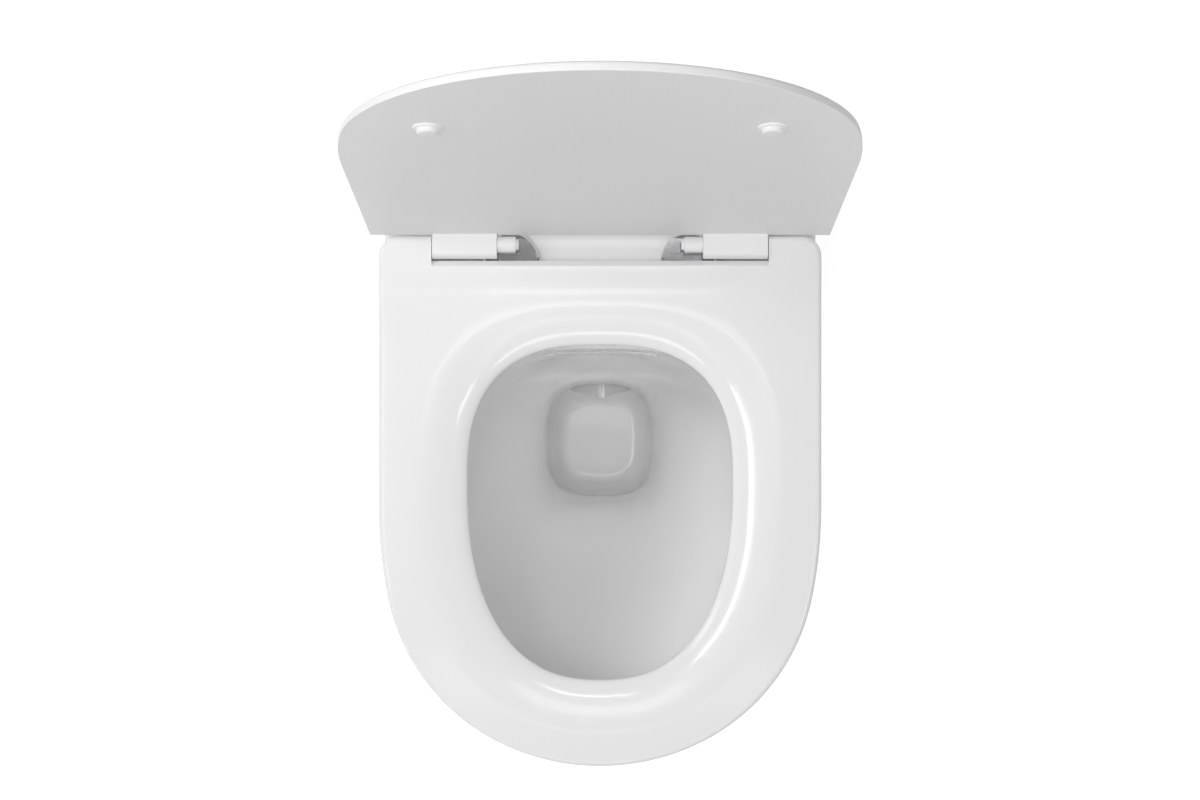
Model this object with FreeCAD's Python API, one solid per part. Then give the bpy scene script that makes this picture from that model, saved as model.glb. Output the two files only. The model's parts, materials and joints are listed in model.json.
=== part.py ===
"""Wall hung toilet with a soft-closing, lift-off seat. Sizes are millimetres.

The frame: the wall is the plane y = 0, the pan reaches out along -Y, +X is to the right of
someone who faces the wall, +Z is up. The origin is midway between the two wall studs.
The seat is modelled closed and then turned up to where its lid stands open.
"""

import FreeCAD, Part
import math
import os

V = FreeCAD.Vector
X_AXIS, Y_AXIS, Z_AXIS = V(1, 0, 0), V(0, 1, 0), V(0, 0, 1)

# Wall interface
STUD_SPACING = 180.0
STUD_HOLE_RADIUS = 6.1
INLET_HEIGHT = 35.0
INLET_RADIUS = 27.5
INLET_DEPTH = 45.0
OUTLET_DROP = 100.0
OUTLET_OUTER_RADIUS = 51.0
OUTLET_BORE_RADIUS = 42.0
OUTLET_LENGTH = 60.0

# Pan, outside
RIM_HEIGHT = 80.0
PAN_HEIGHT = 340.0
PAN_WIDTH = 356.0
PAN_PROJECTION = 518.0
PAN_SKIN = 11.0
DECK_THICKNESS = 14.0
FLOOR_THICKNESS = 12.0
RIM_EDGE_RADIUS = 7.0
FOOT_WIDTH = 224.0
FOOT_SETBACK = 173.0
WALL_TRIM = 5.0
PAN_PROFILE = (  # share of the way down, and of the narrowing and the setback reached there
    (0.0, 0.0, 0.0), (0.2, 0.0, 0.01), (0.36, 0.04, 0.08), (0.55, 0.24, 0.3),
    (0.75, 0.58, 0.62), (0.9, 0.84, 0.86), (1.0, 1.0, 1.0),
)

# Bowl, sump and trap
RIM_SIDE = 44.0
RIM_NOSE = 42.0
BOWL_REAR = 182.5
BOWL_WIDEST_SHIFT = 10.0
BOWL_EDGE_RADIUS = 8.0
BOWL_WALL = 11.0
BOWL_PROFILE = (  # shares: way down to the sump, way in at the sides, rear and front; then power
    (0.0, 0.0, 0.0, 0.0, 2.9), (0.13, 0.012, 0.02, 0.01, 2.9), (0.283, 0.061, 0.1, 0.05, 2.8),
    (0.435, 0.159, 0.2, 0.151, 2.7), (0.587, 0.317, 0.347, 0.302, 2.65),
    (0.739, 0.537, 0.53, 0.503, 2.7), (0.87, 0.768, 0.714, 0.717, 2.8),
    (0.978, 0.939, 0.918, 0.899, 3.0),
)
SUMP_WIDTH = 104.0
SUMP_REAR = 207.0
SUMP_FRONT = 317.0
SUMP_TOP = 150.0
SUMP_FLOOR = 238.0
SUMP_POWER = 3.2
SUMP_PROFILE = (  # share of the way down the sump, and how far its wall has drawn in there
    (0.227, 1.0), (0.511, 3.0), (0.773, 5.5), (0.93, 11.0), (1.0, 22.0),
)
TRAP_RADIUS = 29.0
TRAP_WALL = 9.0
TRAP_BEND_RADIUS = 48.0
TRAP_FLOOR_GAP = 2.0
TRAP_TURN_UP = 42.0
TRAP_TURN_BACK = 112.0
TRAP_OUTLET_OFFSET = 6.0
FLUSH_SLOT_WIDTH = 96.0
FLUSH_SLOT_HEIGHT = 16.0
FLUSH_SLOT_DEPTH = 16.0
FLUSH_BORE_RADIUS = 20.0

# Wall fixing inside the pan
BOSS_SIZE = 52.0
BOSS_DEPTH = 45.0
WEB_THICKNESS = 16.0
SLEEVE_WALL = 2.8
SLEEVE_FLANGE_RADIUS = 14.0
SLEEVE_FLANGE = 2.0
WASHER_RADIUS = 15.0
WASHER_THICKNESS = 2.5
NUT_ACROSS_FLATS = 19.0
NUT_THICKNESS = 10.0
ACCESS_RADIUS = 18.0
ACCESS_SETBACK = 70.0
CAP_FLANGE_RADIUS = 21.0
CAP_FLANGE = 2.0
CAP_PLUG_DEPTH = 7.0
CAP_RECESS = 3.0

# Hinge bases on the deck
SEAT_HOLE_SPACING = 155.0
SEAT_HOLE_Y = -109.5
SEAT_HOLE_RADIUS = 8.0
COVER_CENTRE_X = 72.7
COVER_RADIUS = 22.5
COVER_HEIGHT = 6.0
COVER_SHEET = 0.8
COVER_BEVEL = 1.2
GASKET_THICKNESS = 1.0
PLATE_THICKNESS = 2.5
PLATE_PIN_RADIUS = 4.0
PIN_HEADROOM = 1.0
BOLT_RADIUS = 4.0
BOLT_HEAD_RADIUS = 6.5
BOLT_HEAD = 1.5
BOLT_LENGTH = 44.0
EXPANSION_LENGTH = 32.0
CONE_NUT_LENGTH = 10.0
CONE_NUT_TAPER = 2.0

# Clearances
HOLE_CLEARANCE = 0.2
RUNNING_CLEARANCE = 0.05
SIDE_CLEARANCE = 0.2
SEAT_GAP = 0.3
RING_OVER_COVER = 2.0
KNUCKLE_OVER_COVER = 1.8
KNUCKLE_SWING_GAP = 1.4
KNUCKLE_SIDE_GAP = 0.8
LID_OVER_PLATEAU = 2.5

# Seat ring
SEAT_SIDE_OVERHANG = 2.0
SEAT_NOSE_OVERHANG = 4.0
RING_THICKNESS = 14.0
RING_EDGE_RADIUS = 4.0
RING_FOOT_RADIUS = 2.5
RING_CORNER = 16.0
PLATEAU_RISE = 2.2
PLATEAU_LAND = 5.2
PLATEAU_SLOPE = 19.0
FRONT_RADIUS_1 = 368.5
FRONT_TURN_1 = 11.59
FRONT_RADIUS_2 = 168.7
FRONT_TURN_2 = 51.83
OPENING_SIDE_BAND = 72.0
OPENING_NOSE_BAND = 69.6
OPENING_REAR = 179.6
OPENING_WIDEST = 290.0
OPENING_REAR_POWER = 2.68
OPENING_FRONT_POWER = 2.4
OPENING_FOOT_RADIUS = 1.5
REAR_ROLL_SHARE = 0.62
RING_SECTION = (  # distance out from the opening, and depth there below the sitting face
    (0.0, 11.0), (0.5, 8.9), (2.4, 6.7), (6.0, 4.7), (11.0, 3.2), (17.0, 2.2), (25.0, 1.2),
    (33.0, 0.45), (41.0, -0.05),
)
NOTCH_CORNER = 2.5
NOTCH_BEVEL_RUN = 4.3
NOTCH_BEVEL_DROP = 4.8

# Hinges
AXIS_Y = -98.0
AXIS_DROP = 2.5
EAR_BEHIND_AXIS = 6.9
EAR_BORE_DEPTH = 21.2
POST_INNER = 68.5
POST_LENGTH = 14.9
POST_HEAD_RADIUS = 6.6
POST_STEM_WIDTH = 12.9
POST_STEM_DEPTH = 12.0
KNUCKLE_WIDTH = 52.4
KNUCKLE_ROUNDING = 4.5
SHAFT_RADIUS = 3.0
DAMPER_RADIUS = 6.0
DAMPER_WALL = 1.4
TANG_SIZE = 7.4
TANG_LENGTH = 6.0
BUTTON_RADIUS = 4.5
BUTTON_STANDOUT = 2.5
BUTTON_LENGTH = 5.0
BUTTON_EDGE_RADIUS = 1.0
SPRING_WIRE = 0.8
SPRING_TURNS = 3

# Seat lid
LID_OPEN_ANGLE = 99.8
LID_THICKNESS = 7.0
LID_OVERHANG = 6.9
LID_REAR_INSET = 3.8
LID_EDGE_RADIUS = 3.0
LID_LIP_RADIUS = 0.8

# Buffers
RING_BUFFER_RADIUS = 9.0
RING_BUFFER_EDGE_RADIUS = 1.5
RING_BUFFER_BAND = 30.0
RING_BUFFER_REAR = 165.0
RING_BUFFER_FRONT_BAND = 48.0
RING_BUFFER_FRONT_SETBACK = 102.0
LID_BUFFER_BAND = 62.6
LID_BUFFER_SETBACK = 116.7
LID_BUFFER_FLANGE_RADIUS = 9.0
LID_BUFFER_FLANGE = 1.4
LID_BUFFER_NOSE_RADIUS = 6.5
LID_BUFFER_EDGE_RADIUS = 2.0
LID_BUFFER_BITE = 0.4
BUFFER_STEM_RADIUS = 3.0
BUFFER_STEM_LENGTH = 3.5

# Sizes and places that follow from those above
PAN_BOTTOM = RIM_HEIGHT - PAN_HEIGHT
BOWL_WIDTH = PAN_WIDTH - 2 * RIM_SIDE
BOWL_FRONT = PAN_PROJECTION - RIM_NOSE
COVER_TOP = RIM_HEIGHT + COVER_HEIGHT
SEAT_WIDTH = PAN_WIDTH + 2 * SEAT_SIDE_OVERHANG
SEAT_NOSE = PAN_PROJECTION + SEAT_NOSE_OVERHANG
SEAT_REAR = -AXIS_Y - EAR_BEHIND_AXIS
RING_BOTTOM = COVER_TOP + RING_OVER_COVER
RING_TOP = RING_BOTTOM + RING_THICKNESS
AXIS_Z = RING_TOP - AXIS_DROP
KNUCKLE_RADIUS = AXIS_Z - COVER_TOP - KNUCKLE_OVER_COVER
KNUCKLE_INNER = POST_INNER + POST_LENGTH + SIDE_CLEARANCE
KNUCKLE_OUTER = KNUCKLE_INNER + KNUCKLE_WIDTH
KNUCKLE_FRONT = AXIS_Y - DAMPER_RADIUS - DAMPER_WALL
NOTCH_HALF_WIDTH = KNUCKLE_OUTER + KNUCKLE_SIDE_GAP
NOTCH_FRONT = -AXIS_Y + KNUCKLE_RADIUS + KNUCKLE_SWING_GAP
PLATEAU_FRONT = NOTCH_FRONT + PLATEAU_LAND
PLATEAU_FOOT = PLATEAU_FRONT + PLATEAU_SLOPE
SHAFT_REACH = NOTCH_HALF_WIDTH + EAR_BORE_DEPTH
PIN_TOP = AXIS_Z - BUTTON_RADIUS - PIN_HEADROOM
LID_GAP = PLATEAU_RISE + LID_OVER_PLATEAU
LID_BOTTOM = RING_TOP + LID_GAP
LID_TOP = LID_BOTTOM + LID_THICKNESS
LID_REAR = AXIS_Y - LID_REAR_INSET
LID_BUFFER_X = SEAT_WIDTH / 2 - LID_BUFFER_BAND
LID_BUFFER_Y = LID_BUFFER_SETBACK - SEAT_NOSE
LID_BUFFER_HEIGHT = LID_GAP + LID_BUFFER_BITE
RING_BUFFER_PLACES = (
    (SEAT_WIDTH / 2 - RING_BUFFER_BAND, -RING_BUFFER_REAR),
    (SEAT_WIDTH / 2 - RING_BUFFER_FRONT_BAND, RING_BUFFER_FRONT_SETBACK - SEAT_NOSE),
)
SIDES = (("left", -1), ("right", 1))


def box(x0, x1, y0, y1, z0, z1):
    return Part.makeBox(x1 - x0, y1 - y0, z1 - z0, V(x0, y0, z0))


def mirrored_box(side, x0, x1, y0, y1, z0, z1):
    """A box between two distances from the middle, on one side."""
    low, high = sorted((side * x0, side * x1))
    return box(low, high, y0, y1, z0, z1)


def rod(radius, start, direction, length):
    return Part.makeCylinder(radius, length, start, direction)


def side_rod(side, radius, x0, x1, y, z):
    """A rod along X between two distances from the middle, on one side."""
    return rod(radius, V(side * x0, y, z), V(side, 0, 0), x1 - x0)


def upright(radius, x, y, z0, z1):
    return rod(radius, V(x, y, z0), Z_AXIS, z1 - z0)


def front_curve(scale, grow):
    """Radius and turn of each arc from the straight side to the middle of the nose."""
    first, second = math.radians(FRONT_TURN_1), math.radians(FRONT_TURN_2)
    reach = FRONT_RADIUS_1 * (1 - math.cos(first))
    reach += FRONT_RADIUS_2 * (math.cos(first) - math.cos(first + second))
    nose_radius = (SEAT_WIDTH / 2 - reach) / math.cos(first + second)
    radii = (FRONT_RADIUS_1, FRONT_RADIUS_2, nose_radius)
    turns = (first, second, math.pi / 2 - first - second)
    return [(radius * scale + grow, turn) for radius, turn in zip(radii, turns)]


def d_outline(z, rear, nose, half_width, corner, grow=0.0):
    """The closed outline of a pan, ring or lid: straight rear and sides, three arcs to the nose."""
    half = half_width + grow
    tip = nose - grow
    arcs = front_curve(half_width / (SEAT_WIDTH / 2), grow)
    angles = [0.0]
    for _, turn in arcs:
        angles.append(angles[-1] + turn)
    length = sum(r * (math.sin(b) - math.sin(a)) for (r, _), a, b in zip(arcs, angles, angles[1:]))
    edges = []
    for side in (1, -1):
        x, y = half, tip + length
        top = V(side * half, rear - corner, z)
        edges.append(Part.LineSegment(top, V(side * half, y, z)).toShape())
        if corner:
            dip = corner * (1 - math.sqrt(0.5))
            middle = V(side * (half - dip), rear - dip, z)
            end = V(side * (half - corner), rear, z)
            edges.append(Part.Arc(top, middle, end).toShape())
        for (radius, _), a, b in zip(arcs, angles, angles[1:]):
            cx, cy = x - radius * math.cos(a), y + radius * math.sin(a)
            points = [
                V(side * (cx + radius * math.cos(t)), cy - radius * math.sin(t), z)
                for t in (a, (a + b) / 2, b)
            ]
            x, y = cx + radius * math.cos(b), cy - radius * math.sin(b)
            edges.append(Part.Arc(*points).toShape())
    edges.append(Part.LineSegment(V(corner - half, rear, z), V(half - corner, rear, z)).toShape())
    return Part.Wire(Part.__sortEdges__(edges))


def oval(z, half_width, widest, rear_reach, front_reach, rear_power, front_power):
    """A rounded, nearly rectangular closed curve, widest at y = widest."""
    points = []
    count = 32
    for i in range(count):
        angle = 2 * math.pi * i / count
        c, s = math.cos(angle), math.sin(angle)
        reach, power = (rear_reach, rear_power) if s >= 0 else (front_reach, front_power)
        x = half_width * math.copysign(abs(c) ** (2 / power), c)
        y = widest + reach * math.copysign(abs(s) ** (2 / power), s)
        points.append(V(x, y, z))
    curve = Part.BSplineCurve()
    curve.interpolate(points, PeriodicFlag=True)
    return Part.Wire(curve.toShape())


def prism(wire, height):
    return Part.Face(wire).extrude(V(0, 0, height))


def edges_at(shape, z, tolerance=0.01):
    """The edges that lie wholly at one height."""
    return [
        e for e in shape.Edges
        if abs(e.BoundBox.ZMin - z) < tolerance and abs(e.BoundBox.ZMax - z) < tolerance
    ]


# Pan ------------------------------------------------------------------------------------------

def pan_levels():
    """Height, half width and nose of the pan's outline, from the rim down to the foot."""
    rim, foot = PAN_WIDTH / 2, FOOT_WIDTH / 2
    levels = []
    for down, narrow, back in PAN_PROFILE:
        z = RIM_HEIGHT - down * PAN_HEIGHT
        levels.append((z, rim + narrow * (foot - rim), back * FOOT_SETBACK - PAN_PROJECTION))
    return levels


def pan_outside():
    """The pan's outer form, ground flat where it meets the wall."""
    wires = [d_outline(z, WALL_TRIM, nose, half, 0.0) for z, half, nose in pan_levels()]
    body = Part.makeLoft(wires, True, False)
    body = body.cut(box(-PAN_WIDTH, PAN_WIDTH, 0, 2 * WALL_TRIM, PAN_BOTTOM - 1, RIM_HEIGHT + 1))
    rounded = [e for e in edges_at(body, RIM_HEIGHT) if e.BoundBox.YMin < -1]
    return body.makeFillet(RIM_EDGE_RADIUS, rounded)


def pan_hollow():
    """The space inside the outer skin, open at the wall."""
    top, bottom = RIM_HEIGHT - DECK_THICKNESS, PAN_BOTTOM + FLOOR_THICKNESS
    wires = []
    for z, half, nose in pan_levels():
        share = (z - PAN_BOTTOM) / PAN_HEIGHT
        level = bottom + share * (top - bottom)
        wires.append(d_outline(level, 2 * PAN_SKIN, nose + PAN_SKIN, half - PAN_SKIN, 0.0))
    return Part.makeLoft(wires, True, False)


def bowl(grow):
    """The space of bowl and sump, or with grow that space and its wall."""
    widest = (BOWL_REAR + BOWL_FRONT) / 2 - BOWL_WIDEST_SHIFT
    middle = (SUMP_REAR + SUMP_FRONT) / 2
    wires = []
    for down, side_in, rear_in, front_in, power in BOWL_PROFILE:
        z = RIM_HEIGHT - down * (RIM_HEIGHT + SUMP_TOP)
        half = (BOWL_WIDTH + side_in * (SUMP_WIDTH - BOWL_WIDTH)) / 2 + grow
        rear = BOWL_REAR + rear_in * (SUMP_REAR - BOWL_REAR)
        front = BOWL_FRONT + front_in * (SUMP_FRONT - BOWL_FRONT)
        mid = widest + down * (middle - widest)
        wires.append(oval(z, half, -mid, mid - rear + grow, front - mid + grow, power, power))
    for down, inset in SUMP_PROFILE:
        z = -SUMP_TOP - down * (SUMP_FLOOR + grow - SUMP_TOP)
        half, length = SUMP_WIDTH / 2 + grow - inset, (SUMP_FRONT - SUMP_REAR) / 2 + grow - inset
        wires.append(oval(z, half, -middle, length, length, SUMP_POWER, SUMP_POWER))
    return Part.makeLoft(wires, True, False)


def trap(radius):
    """The waste way: back from the sump, up over the weir and level to the outlet."""
    low = TRAP_RADIUS + TRAP_FLOOR_GAP - SUMP_FLOOR
    high = -OUTLET_DROP - TRAP_OUTLET_OFFSET
    start = V(0, -SUMP_REAR - TRAP_RADIUS, low)
    turn_up = V(0, TRAP_TURN_UP - SUMP_REAR, low)
    turn_back = V(0, TRAP_TURN_BACK - SUMP_REAR, high)
    end = V(0, -OUTLET_LENGTH / 2, high)
    points = [start, turn_up, turn_back, end]
    edges = []
    last = points[0]
    for before, corner, after in zip(points, points[1:], points[2:]):
        into, out = (corner - before).normalize(), (after - corner).normalize()
        half_turn = into.getAngle(out) / 2
        back = TRAP_BEND_RADIUS * math.tan(half_turn)
        first, final = corner - into * back, corner + out * back
        toward = (out - into).normalize()
        centre = corner + toward * (TRAP_BEND_RADIUS / math.cos(half_turn))
        middle = centre - toward * TRAP_BEND_RADIUS
        edges.append(Part.LineSegment(last, first).toShape())
        edges.append(Part.Arc(first, middle, final).toShape())
        last = final
    edges.append(Part.LineSegment(last, points[-1]).toShape())
    ring = Part.Wire(Part.makeCircle(radius, start, Y_AXIS))
    return Part.Wire(edges).makePipeShell([ring], True, True)


def outlet(radius, front):
    return rod(radius, V(0, -front, -OUTLET_DROP), Y_AXIS, front)


def wall_studs(radius, y0, y1):
    """A rod on each stud's line."""
    return [rod(radius, V(s * STUD_SPACING / 2, y0, 0), Y_AXIS, y1 - y0) for _, s in SIDES]


def pan_core():
    """Everything that stands inside the skin: bowl, sump, trap, inlet, stud bosses and their web."""
    spigot = outlet(OUTLET_OUTER_RADIUS, OUTLET_LENGTH)
    reach = BOWL_REAR + 2 * BOWL_WALL
    inlet = rod(INLET_RADIUS + PAN_SKIN, V(0, -reach, INLET_HEIGHT), Y_AXIS, reach)
    web = box(-PAN_WIDTH / 2, PAN_WIDTH / 2, -BOSS_DEPTH, 0, -WEB_THICKNESS / 2, WEB_THICKNESS / 2)
    half = BOSS_SIZE / 2
    bosses = []
    for _, side in SIDES:
        x = side * STUD_SPACING / 2
        bosses.append(box(x - half, x + half, -BOSS_DEPTH, 0, -half, half))
    solids = [trap(TRAP_RADIUS + TRAP_WALL), spigot, inlet, web] + bosses
    return bowl(BOWL_WALL).fuse(solids)


def flush_way():
    """The inlet socket, the bore behind it and the wide slot into the bowl."""
    wall = -BOWL_REAR + FLUSH_SLOT_DEPTH
    low, high = INLET_HEIGHT - FLUSH_SLOT_HEIGHT / 2, INLET_HEIGHT + FLUSH_SLOT_HEIGHT / 2
    socket = rod(INLET_RADIUS, V(0, -INLET_DEPTH, INLET_HEIGHT), Y_AXIS, INLET_DEPTH)
    bore = rod(FLUSH_BORE_RADIUS, V(0, wall, INLET_HEIGHT), Y_AXIS, -INLET_DEPTH - wall)
    slot = box(-FLUSH_SLOT_WIDTH / 2, FLUSH_SLOT_WIDTH / 2, wall - 3 * BOWL_WALL, wall, low, high)
    return [socket, bore, slot]


def access_holes():
    """The round way to each wall nut, with a shallow seat for its cap."""
    holes = []
    for _, side in SIDES:
        inside, seat = PAN_WIDTH / 2 - 3 * PAN_SKIN, PAN_WIDTH / 2 - CAP_RECESS
        recess = CAP_FLANGE_RADIUS + HOLE_CLEARANCE
        holes.append(side_rod(side, ACCESS_RADIUS, inside, PAN_WIDTH, -ACCESS_SETBACK, 0))
        holes.append(side_rod(side, recess, seat, PAN_WIDTH, -ACCESS_SETBACK, 0))
    return holes


def seat_hole_x(side):
    return side * SEAT_HOLE_SPACING / 2


def pan_body():
    body = pan_outside().cut(pan_hollow().cut(pan_core()))
    ways = [trap(TRAP_RADIUS), outlet(OUTLET_BORE_RADIUS, OUTLET_LENGTH - TRAP_WALL)]
    ways += flush_way()
    ways += wall_studs(STUD_HOLE_RADIUS + SLEEVE_WALL, -BOSS_DEPTH, 0)
    ways += access_holes()
    for _, side in SIDES:
        ways.append(upright(SEAT_HOLE_RADIUS, seat_hole_x(side), SEAT_HOLE_Y,
                            RIM_HEIGHT - DECK_THICKNESS - 1.0, RIM_HEIGHT))
    body = body.cut([bowl(0.0)] + ways)
    mouth = [
        e for e in edges_at(body, RIM_HEIGHT)
        if e.Closed and e.BoundBox.XLength > BOWL_WIDTH / 2
    ]
    return body.makeFillet(BOWL_EDGE_RADIUS, mouth)


# Wall fixing ----------------------------------------------------------------------------------

def bored(solids, y0, y1):
    """The given pieces with the stud's hole through each."""
    holes = wall_studs(STUD_HOLE_RADIUS, y0, y1)
    return Part.makeCompound([solid.cut(hole) for solid, hole in zip(solids, holes)])


def fixing_sleeves():
    front = -BOSS_DEPTH - SLEEVE_FLANGE
    tubes = wall_studs(STUD_HOLE_RADIUS + SLEEVE_WALL, front, 0)
    flanges = wall_studs(SLEEVE_FLANGE_RADIUS, front, -BOSS_DEPTH)
    return bored([tube.fuse(flange) for tube, flange in zip(tubes, flanges)], front, 0)


def fixing_washers():
    back = -BOSS_DEPTH - SLEEVE_FLANGE
    front = back - WASHER_THICKNESS
    return bored(wall_studs(WASHER_RADIUS, front, back), front, back)


def fixing_nuts():
    back = -BOSS_DEPTH - SLEEVE_FLANGE - WASHER_THICKNESS
    front = back - NUT_THICKNESS
    corner = NUT_ACROSS_FLATS / math.sqrt(3)
    nuts = []
    for _, side in SIDES:
        x = side * STUD_SPACING / 2
        turns = [math.radians(60 * i) for i in range(7)]
        points = [V(x + corner * math.cos(t), back, corner * math.sin(t)) for t in turns]
        nuts.append(Part.Face(Part.makePolygon(points)).extrude(V(0, front - back, 0)))
    return bored(nuts, front, back)


def access_caps():
    caps = []
    for _, side in SIDES:
        seat = PAN_WIDTH / 2 - CAP_RECESS
        flange = side_rod(side, CAP_FLANGE_RADIUS, seat, seat + CAP_FLANGE, -ACCESS_SETBACK, 0)
        radius = ACCESS_RADIUS - HOLE_CLEARANCE
        plug = side_rod(side, radius, seat - CAP_PLUG_DEPTH, seat, -ACCESS_SETBACK, 0)
        caps.append(flange.fuse(plug))
    return Part.makeCompound(caps)


# Hinge bases ----------------------------------------------------------------------------------

def cover_x(side):
    return side * COVER_CENTRE_X


def post_x(side):
    return side * (POST_INNER + KNUCKLE_INNER - SIDE_CLEARANCE) / 2


def base_gasket(side):
    radius = COVER_RADIUS - COVER_SHEET - HOLE_CLEARANCE
    top = RIM_HEIGHT + GASKET_THICKNESS
    hole = BOLT_RADIUS + HOLE_CLEARANCE
    disc = upright(radius, cover_x(side), SEAT_HOLE_Y, RIM_HEIGHT, top)
    return disc.cut(upright(hole, seat_hole_x(side), SEAT_HOLE_Y, RIM_HEIGHT, top))


def base_plate(side):
    """The steel plate under the cover, with the pin that the hinge post drops on."""
    radius = COVER_RADIUS - COVER_SHEET - HOLE_CLEARANCE
    low = RIM_HEIGHT + GASKET_THICKNESS
    top = low + PLATE_THICKNESS
    disc = upright(radius, cover_x(side), SEAT_HOLE_Y, low, top)
    hole = upright(BOLT_RADIUS + HOLE_CLEARANCE, seat_hole_x(side), SEAT_HOLE_Y, low, top)
    pin = upright(PLATE_PIN_RADIUS, post_x(side), AXIS_Y, low, PIN_TOP)
    return disc.cut(hole).fuse(pin)


def base_cover(side):
    """The bright round cap over the plate and the bolt's head."""
    top, low = COVER_TOP, RIM_HEIGHT + SEAT_GAP
    cap = upright(COVER_RADIUS, cover_x(side), SEAT_HOLE_Y, low, top)
    cap = cap.makeChamfer(COVER_BEVEL, edges_at(cap, top))
    inner = COVER_RADIUS - COVER_SHEET
    inside = upright(inner, cover_x(side), SEAT_HOLE_Y, low, top - COVER_SHEET)
    inside = inside.makeChamfer(COVER_BEVEL, edges_at(inside, top - COVER_SHEET))
    hole = upright(PLATE_PIN_RADIUS + HOLE_CLEARANCE, post_x(side), AXIS_Y, low, top)
    return cap.cut([inside, hole])


def fixing_bolt(side):
    seat = RIM_HEIGHT + GASKET_THICKNESS + PLATE_THICKNESS
    head = upright(BOLT_HEAD_RADIUS, seat_hole_x(side), SEAT_HOLE_Y, seat, seat + BOLT_HEAD)
    return head.fuse(upright(BOLT_RADIUS, seat_hole_x(side), SEAT_HOLE_Y, seat - BOLT_LENGTH, seat))


def expansion_sleeve(side):
    low = RIM_HEIGHT - EXPANSION_LENGTH
    x, radius = seat_hole_x(side), SEAT_HOLE_RADIUS - HOLE_CLEARANCE
    tube = upright(radius, x, SEAT_HOLE_Y, low, RIM_HEIGHT)
    return tube.cut(upright(BOLT_RADIUS, x, SEAT_HOLE_Y, low, RIM_HEIGHT))


def cone_nut(side):
    top = RIM_HEIGHT - EXPANSION_LENGTH
    wide = SEAT_HOLE_RADIUS - HOLE_CLEARANCE
    place = V(seat_hole_x(side), SEAT_HOLE_Y, top)
    cone = Part.makeCone(wide, wide - CONE_NUT_TAPER, CONE_NUT_LENGTH, place, -Z_AXIS)
    low = top - CONE_NUT_LENGTH
    return cone.cut(upright(BOLT_RADIUS, seat_hole_x(side), SEAT_HOLE_Y, low, top))


# Hinge posts, shafts, buttons and dampers -------------------------------------------------------

def shaft_start():
    return POST_INNER + BUTTON_LENGTH + BUTTON_STANDOUT


def hinge_post(side):
    """The round head that holds the shaft and button, on a stem that fits the plate's pin."""
    end = KNUCKLE_INNER - SIDE_CLEARANCE
    head = side_rod(side, POST_HEAD_RADIUS, POST_INNER, end, AXIS_Y, AXIS_Z)
    middle = (POST_INNER + end) / 2
    low = COVER_TOP + SEAT_GAP
    stem = mirrored_box(side, middle - POST_STEM_WIDTH / 2, middle + POST_STEM_WIDTH / 2,
                        AXIS_Y - POST_STEM_DEPTH / 2, AXIS_Y + POST_STEM_DEPTH / 2, low, AXIS_Z)
    around_pin = PLATE_PIN_RADIUS + RUNNING_CLEARANCE
    around_button = BUTTON_RADIUS + RUNNING_CLEARANCE
    socket = upright(around_pin, post_x(side), AXIS_Y, low, PIN_TOP + RUNNING_CLEARANCE)
    well = side_rod(side, around_button, POST_INNER, shaft_start(), AXIS_Y, AXIS_Z)
    bore = side_rod(side, SHAFT_RADIUS, shaft_start(), end, AXIS_Y, AXIS_Z)
    return head.fuse(stem).cut([socket, well, bore])


def hinge_shaft(side):
    return side_rod(side, SHAFT_RADIUS, shaft_start(), SHAFT_REACH, AXIS_Y, AXIS_Z)


def release_button(side):
    end = POST_INNER - BUTTON_STANDOUT
    button = side_rod(side, BUTTON_RADIUS, end, end + BUTTON_LENGTH, AXIS_Y, AXIS_Z)
    face = [e for e in button.Edges if abs(abs(e.CenterOfMass.x) - end) < 0.01 and e.Closed]
    return button.makeFillet(BUTTON_EDGE_RADIUS, face)


def button_spring(side):
    """A coil spring between the button and the end of the shaft."""
    start = POST_INNER - BUTTON_STANDOUT + BUTTON_LENGTH
    length = shaft_start() - start
    radius = BUTTON_RADIUS - SPRING_WIRE
    pitch = (length - SPRING_WIRE) / SPRING_TURNS
    helix = Part.makeHelix(pitch, pitch * SPRING_TURNS, radius)
    ring = Part.Wire(Part.makeCircle(SPRING_WIRE / 2, V(radius, 0, 0), Y_AXIS))
    coil = Part.Wire(helix).makePipeShell([ring], True, True)
    coil.rotate(V(0, 0, 0), Y_AXIS, 90 * side)
    coil.translate(V(side * (start + SPRING_WIRE / 2), AXIS_Y, AXIS_Z))
    return coil


def damper_body(side, bore):
    start = KNUCKLE_INNER + SIDE_CLEARANCE
    body = side_rod(side, DAMPER_RADIUS, start, KNUCKLE_OUTER, AXIS_Y, AXIS_Z)
    return body, side_rod(side, bore, KNUCKLE_INNER, SHAFT_REACH, AXIS_Y, AXIS_Z)


def lid_damper(side):
    """The slow-closing cylinder held in the lid's knuckle, round the fixed shaft."""
    body, hole = damper_body(side, SHAFT_RADIUS + RUNNING_CLEARANCE)
    return body.cut(hole)


def ring_damper(side):
    """The slow-closing cylinder that runs in the lid's knuckle and is keyed to the ring's ear."""
    body, hole = damper_body(side, SHAFT_RADIUS + RUNNING_CLEARANCE)
    half = TANG_SIZE / 2
    tang = mirrored_box(side, KNUCKLE_OUTER - 1.0, NOTCH_HALF_WIDTH + TANG_LENGTH,
                        AXIS_Y - half, AXIS_Y + half, AXIS_Z - half, AXIS_Z + half)
    return body.fuse(tang).cut(hole)


def buffer_stem(x, y, z):
    """The stub by which a buffer is pressed into the ring or the lid."""
    return upright(BUFFER_STEM_RADIUS, x, y, z, z + BUFFER_STEM_LENGTH)


# Seat ring ------------------------------------------------------------------------------------

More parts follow.
